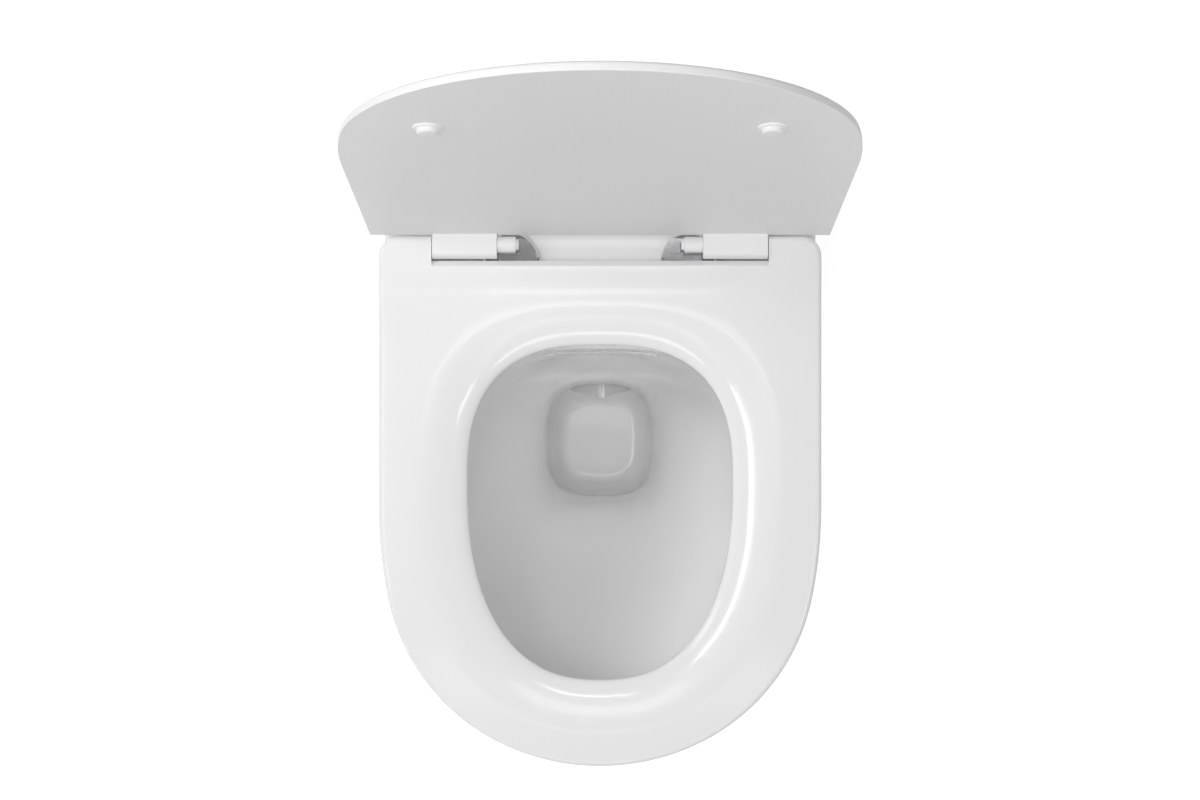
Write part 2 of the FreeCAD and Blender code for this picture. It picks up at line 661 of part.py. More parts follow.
def opening(z, grow):
    """The opening's outline, or one that far outside it, drawn closer together at the rear."""
    half = SEAT_WIDTH / 2 - OPENING_SIDE_BAND + grow
    rear = OPENING_WIDEST - OPENING_REAR + grow * REAR_ROLL_SHARE
    front = SEAT_NOSE - OPENING_NOSE_BAND - OPENING_WIDEST + grow
    return oval(z, half, -OPENING_WIDEST, rear, front, OPENING_REAR_POWER, OPENING_FRONT_POWER)


def ring_slab(top):
    """The ring's whole outline as a plate with rounded edges."""
    wire = d_outline(RING_BOTTOM, -SEAT_REAR, -SEAT_NOSE, SEAT_WIDTH / 2, RING_CORNER)
    plate = prism(wire, top - RING_BOTTOM)
    plate = plate.makeFillet(RING_EDGE_RADIUS, edges_at(plate, top))
    return plate.makeFillet(RING_FOOT_RADIUS, edges_at(plate, RING_BOTTOM))


def plateau():
    """The raised rear of the ring, easing down to the sitting face in two opposite arcs."""
    top = RING_TOP + PLATEAU_RISE
    run, drop = PLATEAU_SLOPE / 2, PLATEAU_RISE / 2
    radius = (run * run + drop * drop) / (2 * drop)
    half_turn = math.asin(run / radius) / 2
    dx, dz = radius * math.sin(half_turn), radius * (1 - math.cos(half_turn))
    upper, lower = V(0, -PLATEAU_FRONT, top), V(0, -PLATEAU_FOOT, RING_TOP)
    middle = V(0, -PLATEAU_FRONT - run, RING_TOP + drop)
    edges = [
        Part.Arc(upper, V(0, -PLATEAU_FRONT - dx, top - dz), middle).toShape(),
        Part.Arc(middle, V(0, dx - PLATEAU_FOOT, RING_TOP + dz), lower).toShape(),
    ]
    rest = [lower, V(0, -PLATEAU_FOOT, RING_BOTTOM), V(0, 0, RING_BOTTOM), V(0, 0, top), upper]
    edges += [Part.LineSegment(a, b).toShape() for a, b in zip(rest, rest[1:])]
    wedge = Part.Face(Part.Wire(edges)).extrude(V(SEAT_WIDTH, 0, 0))
    wedge.translate(V(-SEAT_WIDTH / 2, 0, 0))
    return ring_slab(top).common(wedge)


def ring_notch():
    """The cut-out at the rear in which the hinges stand, with its front edge bevelled."""
    half = NOTCH_HALF_WIDTH
    notch = box(-half, half, -NOTCH_FRONT, 0, RING_BOTTOM - 1, RING_TOP + 2 * PLATEAU_RISE)
    corners = [
        e for e in notch.Edges
        if abs(e.BoundBox.YMax + NOTCH_FRONT) < 0.01 and e.BoundBox.ZLength > RING_THICKNESS
    ]
    top, far = RING_TOP + PLATEAU_RISE, 2.0 * PLATEAU_RISE
    slope = NOTCH_BEVEL_DROP / NOTCH_BEVEL_RUN
    bevel = Part.makePolygon([
        V(-half, -NOTCH_FRONT, top - NOTCH_BEVEL_DROP),
        V(-half, -NOTCH_FRONT - NOTCH_BEVEL_RUN - far / slope, top + far),
        V(-half, -NOTCH_FRONT, top + far),
        V(-half, -NOTCH_FRONT, top - NOTCH_BEVEL_DROP),
    ])
    bevel = Part.Face(bevel).extrude(V(2 * half, 0, 0))
    return [notch.makeFillet(NOTCH_CORNER, corners), bevel]


def seat_ring():
    ring = ring_slab(RING_TOP).fuse(plateau()).removeSplitter()
    hole = prism(opening(RING_BOTTOM - 1, 0.0), RING_THICKNESS + 1 - RING_SECTION[0][1])
    dish = Part.makeLoft([opening(RING_TOP - deep, out) for out, deep in RING_SECTION], True, False)
    ring = ring.cut([hole, dish] + ring_notch())
    foot = [
        e for e in edges_at(ring, RING_BOTTOM)
        if e.BoundBox.YLength > OPENING_WIDEST - OPENING_REAR and e.BoundBox.YMax < -OPENING_REAR + 1
    ]
    ring = ring.makeFillet(OPENING_FOOT_RADIUS, foot)
    cuts = []
    for _, side in SIDES:
        bore = SHAFT_RADIUS + RUNNING_CLEARANCE
        cuts.append(side_rod(side, bore, NOTCH_HALF_WIDTH - 1, SHAFT_REACH + 1, AXIS_Y, AXIS_Z))
        for x, y in RING_BUFFER_PLACES:
            cuts.append(buffer_stem(side * x, y, RING_BOTTOM))
    half = TANG_SIZE / 2
    cuts.append(box(NOTCH_HALF_WIDTH - 1, NOTCH_HALF_WIDTH + TANG_LENGTH,
                    AXIS_Y - half, AXIS_Y + half, AXIS_Z - half, AXIS_Z + half))
    return ring.cut(cuts)


def ring_buffers():
    pads = []
    for _, side in SIDES:
        for x, y in RING_BUFFER_PLACES:
            foot = RIM_HEIGHT + SEAT_GAP
            pad = upright(RING_BUFFER_RADIUS, side * x, y, foot, RING_BOTTOM)
            pad = pad.makeFillet(RING_BUFFER_EDGE_RADIUS, edges_at(pad, foot))
            pads.append(pad.fuse(buffer_stem(side * x, y, RING_BOTTOM)))
    return Part.makeCompound(pads)


# Seat lid -------------------------------------------------------------------------------------

def knuckle(side):
    """One of the lid's hinge barrels, cut flat just clear of its damper and carried to the slab."""
    barrel = side_rod(side, KNUCKLE_RADIUS, KNUCKLE_INNER, KNUCKLE_OUTER, AXIS_Y, AXIS_Z)
    front = box(-PAN_WIDTH, PAN_WIDTH, KNUCKLE_FRONT - KNUCKLE_RADIUS, KNUCKLE_FRONT,
                AXIS_Z - KNUCKLE_RADIUS, AXIS_Z + KNUCKLE_RADIUS)
    neck = mirrored_box(side, KNUCKLE_INNER, KNUCKLE_OUTER, LID_REAR, AXIS_Y + KNUCKLE_RADIUS,
                        AXIS_Z, LID_TOP)
    shape = barrel.cut(front).fuse(neck).removeSplitter()
    corner = [
        e for e in shape.Edges
        if abs(e.BoundBox.YMin - KNUCKLE_FRONT) < 0.01 and e.BoundBox.YLength < 0.01
        and e.BoundBox.XLength > 10 and e.BoundBox.ZMax < AXIS_Z
    ]
    shape = shape.makeFillet(KNUCKLE_ROUNDING, corner)
    back = [
        e for e in shape.Edges
        if e.BoundBox.YMin > AXIS_Y + KNUCKLE_RADIUS - 0.01 and e.BoundBox.ZMin > LID_TOP - 0.01
    ]
    return shape.makeFillet(LID_EDGE_RADIUS, back)


def seat_lid():
    wire = d_outline(LID_BOTTOM, LID_REAR, -SEAT_NOSE, SEAT_WIDTH / 2, 0.0, LID_OVERHANG)
    slab = prism(wire, LID_THICKNESS)
    for radius, z in ((LID_EDGE_RADIUS, LID_TOP), (LID_LIP_RADIUS, LID_BOTTOM)):
        around = [e for e in edges_at(slab, z) if e.BoundBox.YLength > 0.01]
        slab = slab.makeFillet(radius, around)
    lid = slab.fuse([knuckle(side) for _, side in SIDES])
    cuts = []
    for _, side in SIDES:
        bore = DAMPER_RADIUS if side < 0 else DAMPER_RADIUS + RUNNING_CLEARANCE
        cuts.append(side_rod(side, bore, KNUCKLE_INNER - 1, KNUCKLE_OUTER + 1, AXIS_Y, AXIS_Z))
        cuts.append(buffer_stem(side * LID_BUFFER_X, LID_BUFFER_Y, LID_BOTTOM))
    return lid.cut(cuts)


def lid_buffers():
    pads = []
    for _, side in SIDES:
        x, y = side * LID_BUFFER_X, LID_BUFFER_Y
        flange = upright(LID_BUFFER_FLANGE_RADIUS, x, y, LID_BOTTOM - LID_BUFFER_FLANGE, LID_BOTTOM)
        tip = LID_BOTTOM - LID_BUFFER_HEIGHT
        nose = upright(LID_BUFFER_NOSE_RADIUS, x, y, tip, LID_BOTTOM)
        nose = nose.makeFillet(LID_BUFFER_EDGE_RADIUS, edges_at(nose, tip))
        pads.append(flange.fuse([nose, buffer_stem(x, y, LID_BOTTOM)]))
    return Part.makeCompound(pads)


def opened(shape):
    """A closed-lid shape turned up about the hinge axis."""
    turned = shape.copy()
    turned.rotate(V(0, AXIS_Y, AXIS_Z), X_AXIS, -LID_OPEN_ANGLE)
    return turned


def all_parts():
    parts = {
        "pan_body": pan_body(),
        "fixing_sleeves": fixing_sleeves(),
        "fixing_washers": fixing_washers(),
        "fixing_nuts": fixing_nuts(),
        "access_caps": access_caps(),
        "seat_ring": seat_ring(),
        "ring_buffers": ring_buffers(),
        "ring_damper": ring_damper(1),
        "seat_lid": opened(seat_lid()),
        "lid_buffers": opened(lid_buffers()),
        "lid_damper": opened(lid_damper(-1)),
    }
    for name, side in SIDES:
        parts[name + "_base_gasket"] = base_gasket(side)
        parts[name + "_base_plate"] = base_plate(side)
        parts[name + "_base_cover"] = base_cover(side)
        parts[name + "_fixing_bolt"] = fixing_bolt(side)
        parts[name + "_expansion_sleeve"] = expansion_sleeve(side)
        parts[name + "_cone_nut"] = cone_nut(side)
        parts[name + "_hinge_post"] = hinge_post(side)
        parts[name + "_hinge_shaft"] = hinge_shaft(side)
        parts[name + "_release_button"] = release_button(side)
        parts[name + "_button_spring"] = button_spring(side)
    return parts


os.makedirs("parts", exist_ok=True)
for node, shape in all_parts().items():
    print(node, shape.isValid(), len(shape.Solids), round(shape.Volume / 1000, 1))
    shape.exportStep(os.path.join("parts", node + ".step"))
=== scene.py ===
# %% [markdown]
# This file draws a wall hung toilet whose seat ring is down and whose lid stands open. A packed
# CAD model gives every piece its place and size, in metres, with the wall at y = 0 and the pan
# reaching towards -Y. Loading it first means that nothing has to be fitted afterwards.

# %% Load the packed model
import json
import math
import bmesh
import bpy
import numpy as np
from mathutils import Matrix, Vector


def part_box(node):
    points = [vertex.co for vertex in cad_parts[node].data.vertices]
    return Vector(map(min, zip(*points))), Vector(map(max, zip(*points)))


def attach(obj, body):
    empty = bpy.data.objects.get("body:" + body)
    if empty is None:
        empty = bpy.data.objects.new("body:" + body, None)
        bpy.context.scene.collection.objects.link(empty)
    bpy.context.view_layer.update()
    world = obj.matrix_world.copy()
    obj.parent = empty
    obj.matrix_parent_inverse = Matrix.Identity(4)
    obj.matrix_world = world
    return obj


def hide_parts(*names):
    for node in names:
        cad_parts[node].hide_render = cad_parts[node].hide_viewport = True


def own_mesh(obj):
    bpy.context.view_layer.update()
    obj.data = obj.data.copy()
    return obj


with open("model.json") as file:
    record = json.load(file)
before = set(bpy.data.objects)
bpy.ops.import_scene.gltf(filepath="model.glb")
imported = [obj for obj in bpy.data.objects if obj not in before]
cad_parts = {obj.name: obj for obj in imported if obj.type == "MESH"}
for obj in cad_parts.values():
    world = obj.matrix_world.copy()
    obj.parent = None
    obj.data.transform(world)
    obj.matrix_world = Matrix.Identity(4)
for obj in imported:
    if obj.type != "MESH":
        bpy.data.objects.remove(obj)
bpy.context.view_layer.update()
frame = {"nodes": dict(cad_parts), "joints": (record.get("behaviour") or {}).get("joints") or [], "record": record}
scene = bpy.context.scene

# %% [markdown]
# The photograph looks straight down from about 1.84 m above the seat, so the camera has no tilt
# at all. A long lens keeps the pan's sides from showing. The view transform is Standard, because
# the glaze should come out as white as it is written.

# %% Camera
camera_data = bpy.data.cameras.new("overhead_camera")
camera_data.sensor_width = 36.0
camera_data.lens = 68.04
camera = bpy.data.objects.new("overhead_camera", camera_data)
camera.location = (0.0, -0.2242, 1.943)
scene.collection.objects.link(camera)
scene.camera = camera
scene.view_settings.view_transform = "Standard"
print("camera at", tuple(camera.location))

# %% [markdown]
# A white glossy object needs a studio to reflect. A dome could do it all, but it gives no long
# highlights, so the dome stays weak and soft boxes do the modelling. What the eye and the chrome
# see of the dome is white at the horizon and grey overhead, and only the diffuse light is dimmed.

# %% Studio world
DOME_LIGHT = 0.48
world = bpy.data.worlds.new("studio_dome")
scene.world = world
world.use_nodes = True
dome, dome_links = world.node_tree.nodes, world.node_tree.links
split = dome.new("ShaderNodeSeparateXYZ")
dome_links.new(dome.new("ShaderNodeTexCoord").outputs["Generated"], split.inputs[0])
ramp = dome.new("ShaderNodeValToRGB")
ramp.color_ramp.elements[0].position, ramp.color_ramp.elements[0].color = 0.3, (1, 1, 1, 1)
ramp.color_ramp.elements[1].position, ramp.color_ramp.elements[1].color = 0.95, (0.3, 0.3, 0.3, 1)
dome_links.new(split.outputs["Z"], ramp.inputs["Fac"])
dome_links.new(ramp.outputs["Color"], dome["Background"].inputs["Color"])


def seen_directly(nodes, links):
    """1 where a ray comes straight from the camera, a mirror or glass, and 0 elsewhere."""
    path = nodes.new("ShaderNodeLightPath")
    value = path.outputs["Is Camera Ray"]
    for other in ("Is Glossy Ray", "Is Transmission Ray"):
        either = nodes.new("ShaderNodeMath")
        either.operation = "MAXIMUM"
        links.new(value, either.inputs[0])
        links.new(path.outputs[other], either.inputs[1])
        value = either.outputs[0]
    return value


strength = dome.new("ShaderNodeMapRange")
strength.inputs["To Min"].default_value = DOME_LIGHT
dome_links.new(seen_directly(dome, dome_links), strength.inputs["Value"])
dome_links.new(strength.outputs["Result"], dome["Background"].inputs["Strength"])
print("dome light", DOME_LIGHT)


# %% [markdown]
# Two kinds of lamp share the work. Large boxes give the light that models the white shapes, with
# the strongest one on the left, and most of them don't show in the gloss, so the chrome covers
# and the sump stay grey. Narrow strips give hardly any light: each is there to draw one long
# highlight round the seat's opening, where the dish turns the right way to mirror it.

# %% Soft boxes
SEAT_MIDDLE = (0.0, -0.27, 0.1)
STRIP_HEIGHT = 2.05
BOXES = {  # place, width, height and watts
    "overhead_box": ((-0.35, -0.2, 2.2), 0.7, 0.9, 9.0), "key_box": ((-1.5, 0.1, 1.7), 0.9, 0.9, 14.0),
    "fill_box": ((0.6, -1.5, 1.8), 0.9, 0.7, 5.5),
}
STRIPS = {  # place across and along, width, height and watts
    "left_strip": (-0.5, -0.33, 0.12, 0.55, 2.2), "right_strip": (0.62, -0.6, 0.16, 0.26, 0.7),
    "wall_strip": (0.08, 0.13, 0.36, 0.1, 0.8), "rear_strip": (0.0, -0.2, 0.4, 0.15, 0.4),
    "front_strip": (0.0, -0.69, 0.6, 0.1, 0.25),
}


def soft_box(name, place, aim, width, height, watts):
    data = bpy.data.lights.new(name, "AREA")
    data.shape = "RECTANGLE"
    data.size, data.size_y, data.energy = width, height, watts
    light = bpy.data.objects.new(name, data)
    light.location = place
    light.rotation_euler = (Vector(aim) - Vector(place)).to_track_quat("-Z", "Y").to_euler()
    scene.collection.objects.link(light)
    return light


for name, (place, width, height, watts) in BOXES.items():
    soft_box(name, place, SEAT_MIDDLE, width, height, watts).visible_glossy = False
soft_box("left_box", (-1.7, 0.5, 1.7), SEAT_MIDDLE, width=0.6, height=1.0, watts=4.0)
soft_box("front_box", (0.0, -1.2, 1.95), (0.0, -0.2, 0.1), width=1.4, height=0.22, watts=3.0)
for name, (x, y, width, height, watts) in STRIPS.items():
    soft_box(name, (x, y, STRIP_HEIGHT), (x, y, 0.0), width, height, watts)

# %% [markdown]
# The floor lies 32 cm below the wall studs, which puts the rim at the usual 40 cm. It is a plain
# pale plane: what the camera sees of it glows a little, so it comes out white, and it still takes
# the pan's shadow.

# %% Floor
FLOOR_GLOW = 0.62


def floor_finish():
    material = bpy.data.materials.new("pale_floor")
    material.use_nodes = True
    nodes, links = material.node_tree.nodes, material.node_tree.links
    shader = nodes["Principled BSDF"]
    shader.inputs["Base Color"].default_value = (0.8, 0.8, 0.8, 1)
    shader.inputs["Roughness"].default_value = 0.8
    glow, both = nodes.new("ShaderNodeEmission"), nodes.new("ShaderNodeAddShader")
    share = nodes.new("ShaderNodeMath")
    share.operation = "MULTIPLY"
    share.inputs[1].default_value = FLOOR_GLOW
    links.new(seen_directly(nodes, links), share.inputs[0])
    links.new(share.outputs[0], glow.inputs["Strength"])
    links.new(shader.outputs[0], both.inputs[0])
    links.new(glow.outputs[0], both.inputs[1])
    links.new(both.outputs[0], nodes["Material Output"].inputs["Surface"])
    return material


FLOOR_LEVEL, FLOOR_HALF = -0.32, 8
floor_mesh = bpy.data.meshes.new("floor")
floor_corners = [(x * FLOOR_HALF, y * FLOOR_HALF, FLOOR_LEVEL)
                 for x, y in ((-1, -1), (1, -1), (1, 1), (-1, 1))]
floor_mesh.from_pydata(floor_corners, [], [(0, 1, 2, 3)])
floor_mesh.materials.append(floor_finish())
floor = bpy.data.objects.new("floor", floor_mesh)
scene.collection.objects.link(floor)
print("floor at", FLOOR_LEVEL)

# %% [markdown]
# Several finishes share two effects. One is the slow unevenness of a fired or moulded skin: a
# cloudy change of tone, gloss and height. The other is grain: the fine lines that turning or
# brushing leaves in metal. Each is a node group, made once, that every material fills in with
# its own values. The shader itself stays in the material.

# %% Group: skin
def group_with(name, inputs, outputs):
    group = bpy.data.node_groups.new(name, "ShaderNodeTree")
    for label, kind, value in inputs:
        socket = group.interface.new_socket(label, in_out="INPUT", socket_type=kind)
        socket.default_value = value
    for label, kind in outputs:
        group.interface.new_socket(label, in_out="OUTPUT", socket_type=kind)
    return group, group.nodes.new("NodeGroupInput"), group.nodes.new("NodeGroupOutput")


def range_node(nodes, links, source, low, high):
    """Spread a 0 to 1 value between two sockets."""
    node = nodes.new("ShaderNodeMapRange")
    node.clamp = True
    links.new(source, node.inputs["Value"])
    links.new(low, node.inputs["To Min"])
    links.new(high, node.inputs["To Max"])
    return node.outputs["Result"]


def skin_group():
    group, given, result = group_with(
        "moulded_skin",
        [("Colour", "NodeSocketColor", (0.8, 0.8, 0.8, 1)), ("Tone Change", "NodeSocketFloat", 0.02),
         ("Roughness Low", "NodeSocketFloat", 0.1), ("Roughness High", "NodeSocketFloat", 0.15),
         ("Wave Scale", "NodeSocketFloat", 20.0), ("Pore Scale", "NodeSocketFloat", 900.0),
         ("Pore Share", "NodeSocketFloat", 0.1)],
        [("Colour", "NodeSocketColor"), ("Roughness", "NodeSocketFloat"), ("Height", "NodeSocketFloat")])
    nodes, links = group.nodes, group.links
    place = nodes.new("ShaderNodeTexCoord").outputs["Object"]
    waves, pores = nodes.new("ShaderNodeTexNoise"), nodes.new("ShaderNodeTexNoise")
    waves.inputs["Detail"].default_value = 1.5
    pores.inputs["Detail"].default_value = 2.0
    for noise, scale in ((waves, "Wave Scale"), (pores, "Pore Scale")):
        links.new(place, noise.inputs["Vector"])
        links.new(given.outputs[scale], noise.inputs["Scale"])
    links.new(range_node(nodes, links, waves.outputs["Fac"], given.outputs["Roughness Low"],
                         given.outputs["Roughness High"]), result.inputs["Roughness"])
    darker = nodes.new("ShaderNodeMix")
    darker.data_type, darker.blend_type = "RGBA", "MULTIPLY"
    share = nodes.new("ShaderNodeMath")
    share.operation = "MULTIPLY"
    links.new(waves.outputs["Fac"], share.inputs[0])
    links.new(given.outputs["Tone Change"], share.inputs[1])
    links.new(share.outputs[0], darker.inputs["Factor"])
    links.new(given.outputs["Colour"], darker.inputs["A"])
    darker.inputs["B"].default_value = (0.0, 0.0, 0.0, 1)
    links.new(darker.outputs["Result"], result.inputs["Colour"])
    height = nodes.new("ShaderNodeMath")
    height.operation = "MULTIPLY_ADD"
    links.new(pores.outputs["Fac"], height.inputs[0])
    links.new(given.outputs["Pore Share"], height.inputs[1])
    links.new(waves.outputs["Fac"], height.inputs[2])
    links.new(height.outputs[0], result.inputs["Height"])
    return group


moulded_skin = skin_group()
print(moulded_skin.name, "has", len(moulded_skin.nodes), "nodes")


# %% [markdown]
# Turned and plated metal isn't cloudy but lined. A noise stretched along one axis gives such
# lines, and its scale decides whether they read as brushing or as the faint haze of polish.

# %% Group: grain
def grain_group():
    group, given, result = group_with(
        "metal_grain",
        [("Colour", "NodeSocketColor", (0.6, 0.6, 0.6, 1)), ("Stretch", "NodeSocketVector", (1, 1, 40)),
         ("Scale", "NodeSocketFloat", 120.0), ("Roughness Low", "NodeSocketFloat", 0.15),
         ("Roughness High", "NodeSocketFloat", 0.3), ("Tone Change", "NodeSocketFloat", 0.15)],
        [("Colour", "NodeSocketColor"), ("Roughness", "NodeSocketFloat"), ("Height", "NodeSocketFloat")])
    nodes, links = group.nodes, group.links
    stretched = nodes.new("ShaderNodeVectorMath")
    stretched.operation = "MULTIPLY"
    links.new(nodes.new("ShaderNodeTexCoord").outputs["Object"], stretched.inputs[0])
    links.new(given.outputs["Stretch"], stretched.inputs[1])
    lines = nodes.new("ShaderNodeTexNoise")
    lines.inputs["Detail"].default_value = 4.0
    links.new(stretched.outputs[0], lines.inputs["Vector"])
    links.new(given.outputs["Scale"], lines.inputs["Scale"])
    links.new(range_node(nodes, links, lines.outputs["Fac"], given.outputs["Roughness Low"],
                         given.outputs["Roughness High"]), result.inputs["Roughness"])
    share = nodes.new("ShaderNodeMath")
    share.operation = "MULTIPLY"
    links.new(lines.outputs["Fac"], share.inputs[0])
    links.new(given.outputs["Tone Change"], share.inputs[1])
    darker = nodes.new("ShaderNodeMix")
    darker.data_type, darker.blend_type = "RGBA", "MULTIPLY"
    links.new(share.outputs[0], darker.inputs["Factor"])
    links.new(given.outputs["Colour"], darker.inputs["A"])
    darker.inputs["B"].default_value = (0.0, 0.0, 0.0, 1)
    links.new(darker.outputs["Result"], result.inputs["Colour"])
    links.new(lines.outputs["Fac"], result.inputs["Height"])
    return group


metal_grain = grain_group()
print(metal_grain.name, "has", len(metal_grain.nodes), "nodes")

# %% [markdown]
# A material here is one Principled shader with one of these groups in front of it. Linking the
# same nodes by hand for ten materials would bury the few values that differ, so a helper links
# them. A value that is the same all over goes straight on the shader, where an exporter reads it.

# %% A finish from a group
def finish_from(name, group, values, bump, own):
    """A material whose colour, gloss and bump come from a group, with its own shader values."""
    material = bpy.data.materials.new(name)
    material.use_nodes = True
    nodes, links = material.node_tree.nodes, material.node_tree.links
    shader = nodes["Principled BSDF"]
    effect = nodes.new("ShaderNodeGroup")
    effect.node_tree = group
    for label, value in values.items():
        effect.inputs[label].default_value = value
    raised = nodes.new("ShaderNodeBump")
    raised.inputs["Strength"].default_value = bump[0]
    raised.inputs["Distance"].default_value = bump[1]
    links.new(effect.outputs["Colour"], shader.inputs["Base Color"])
    links.new(effect.outputs["Roughness"], shader.inputs["Roughness"])
    links.new(effect.outputs["Height"], raised.inputs["Height"])
    links.new(raised.outputs["Normal"], shader.inputs["Normal"])
    for label, value in own.items():
        shader.inputs[label].default_value = value
    return material


finishes = {}
print("groups to choose from:", moulded_skin.name, "and", metal_grain.name)

# %% [markdown]
# The pan is fired vitreous china under a thick white glaze, the glossiest finish here. A smooth
# white shader alone would look like plastic. A clear coat over a skin that waves slowly is closer:
# a sharp mirror on top of a body that moved a little in the kiln.

# %% Glazed ceramic
finishes["ceramic"] = finish_from("glazed_ceramic", moulded_skin, {
    "Colour": (0.91, 0.91, 0.91, 1), "Tone Change": 0.02, "Roughness Low": 0.08,
    "Roughness High": 0.14, "Wave Scale": 14.0, "Pore Scale": 700.0, "Pore Share": 0.02,
}, (0.12, 0.002), {"Coat Weight": 0.4, "Coat Roughness": 0.03})
print("made", finishes["ceramic"].name)

# %% [markdown]
# Ring and lid are pressed from duroplast, a hard white plastic. The press polishes the ring, and
# the lid comes out satin. So they share a skin and nearly a colour, and what sets them apart is
# roughness: the satin one has no clear coat and mirrors less.

# %% Duroplast, polished and satin
finishes["duroplast"] = finish_from("glossy_duroplast", moulded_skin, {
    "Colour": (0.825, 0.825, 0.825, 1), "Tone Change": 0.012, "Roughness Low": 0.1, "Roughness High": 0.14,
    "Wave Scale": 9.0, "Pore Scale": 1500.0, "Pore Share": 0.02,
}, (0.05, 0.001), {"Coat Weight": 0.2, "Coat Roughness": 0.05})
finishes["lid"] = finish_from("satin_duroplast", moulded_skin, {
    "Colour": (0.84, 0.84, 0.84, 1), "Tone Change": 0.012, "Roughness Low": 0.4,
    "Roughness High": 0.45, "Wave Scale": 9.0, "Pore Scale": 1500.0, "Pore Share": 0.05,
}, (0.05, 0.001), {"Specular IOR Level": 0.25})
print("made", finishes["duroplast"].name, "and", finishes["lid"].name)

# %% [markdown]
# The small parts are plain trade plastics and rubbers: glossy white hinge posts and caps, soft
# buffers, nylon sleeves, black rubber and grey damper bodies. A photograph could be laid over
# each, but one skin group serves them all, with finer pores and more roughness as the filler
# or the soot in the mix goes up.

# %% Plastics and rubbers
finishes["white_plastic"] = finish_from("white_plastic", moulded_skin, {
    "Colour": (0.82, 0.82, 0.82, 1), "Tone Change": 0.02, "Roughness Low": 0.2,
    "Roughness High": 0.26, "Wave Scale": 40.0, "Pore Scale": 2500.0, "Pore Share": 0.1,
}, (0.06, 0.0005), {})
finishes["buffer"] = finish_from("soft_white_elastomer", moulded_skin, {
    "Colour": (0.88, 0.88, 0.88, 1), "Tone Change": 0.03, "Roughness Low": 0.4,
    "Roughness High": 0.5, "Wave Scale": 90.0, "Pore Scale": 3000.0, "Pore Share": 0.3,
}, (0.15, 0.0004), {})
finishes["rubber"] = finish_from("black_rubber", moulded_skin, {
    "Colour": (0.03, 0.03, 0.03, 1), "Tone Change": 0.2, "Roughness Low": 0.6,
    "Roughness High": 0.75, "Wave Scale": 120.0, "Pore Scale": 4000.0, "Pore Share": 0.6,
}, (0.3, 0.0004), {})
finishes["nylon"] = finish_from("natural_nylon", moulded_skin, {
    "Colour": (0.66, 0.65, 0.6, 1), "Tone Change": 0.08, "Roughness Low": 0.4,
    "Roughness High": 0.5, "Wave Scale": 80.0, "Pore Scale": 3000.0, "Pore Share": 0.3,
}, (0.15, 0.0004), {"Subsurface Weight": 0.1})
finishes["damper"] = finish_from("grey_filled_plastic", moulded_skin, {
    "Colour": (0.17, 0.18, 0.19, 1), "Tone Change": 0.15, "Roughness Low": 0.45,
    "Roughness High": 0.6, "Wave Scale": 150.0, "Pore Scale": 5000.0, "Pore Share": 0.8,
}, (0.25, 0.0003), {})
print(len(finishes), "finishes so far")

# %% [markdown]
# The two base covers are chrome plated. Bolts, nuts, plates, shafts and springs are zinc plated.
# Both are bare metal to the shader. The grain group sets them apart: polish leaves the chrome
# only a haze, while the zinc keeps the lines of rolling and turning.

# %% Chrome and zinc-plated steel
finishes["chrome"] = finish_from("polished_chrome", metal_grain, {
    "Colour": (0.52, 0.52, 0.53, 1), "Stretch": (1, 1, 6), "Scale": 300.0, "Tone Change": 0.03,
    "Roughness Low": 0.06, "Roughness High": 0.12,
}, (0.02, 0.0002), {"Metallic": 1.0})
finishes["steel"] = finish_from("zinc_plated_steel", metal_grain, {
    "Colour": (0.5, 0.5, 0.51, 1), "Stretch": (1, 1, 25), "Scale": 150.0, "Tone Change": 0.2,
    "Roughness Low": 0.25, "Roughness High": 0.45,
}, (0.1, 0.0002), {"Metallic": 1.0})
print("finishes:", ", ".join(finishes))

# %% [markdown]
# The seat ring is moulded as one shell whose top obeys a rule: it rolls down into the opening,
# rolls over at the outer edge, and steps up in front of the hinges. Such a shape could be
# sculpted, but a rule is easier to keep exact. So a flat two-sided sheet is laid out first, on
# rays from the middle of the opening, and each of its points remembers how far it lies from the
# opening and from the outer edge.

# %% Ring: sizes and rays
MM = 0.001
RING_LOW, RING_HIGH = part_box("seat_ring")
HALF_WIDTH, NOSE, REAR = RING_HIGH.x, RING_LOW.y, RING_HIGH.y
RING_BOTTOM, RING_THICKNESS = RING_LOW.z, 14.0 * MM
RING_TOP = RING_BOTTOM + RING_THICKNESS
MIDDLE, RAYS = -290.0 * MM, 480
angles = np.linspace(0, 2 * math.pi, RAYS, endpoint=False)


def on_rays(points):
    """Where the rays from the middle of the opening cross a closed line."""
    x, y = points[:, 0], points[:, 1] - MIDDLE
    turn = np.arctan2(y, x) % (2 * math.pi)
    order = np.argsort(turn)
    reach = np.interp(angles, turn[order], np.hypot(x, y)[order], period=2 * math.pi)
    return np.stack([reach * np.cos(angles), MIDDLE + reach * np.sin(angles)], 1)


print("ring", round(2 * HALF_WIDTH / MM, 1), "mm wide and", round((REAR - NOSE) / MM, 1), "mm long")

# %% [markdown]
# The opening isn't an ellipse: its sides are straighter and its corners fuller. Arcs could follow
# it, but a superellipse does so in one line, and its power says how full the corners are. The
# rear half is a little fuller than the front one, so each half has a power of its own.

# %% Ring: the opening
OPENING_HALF, OPENING_REAR = 108.0 * MM, -179.6 * MM
OPENING_FRONT = NOSE + 69.6 * MM
REAR_POWER, FRONT_POWER = 2.68, 2.4
REAR_SHARE, CURVE_STEPS = 0.8, 4000


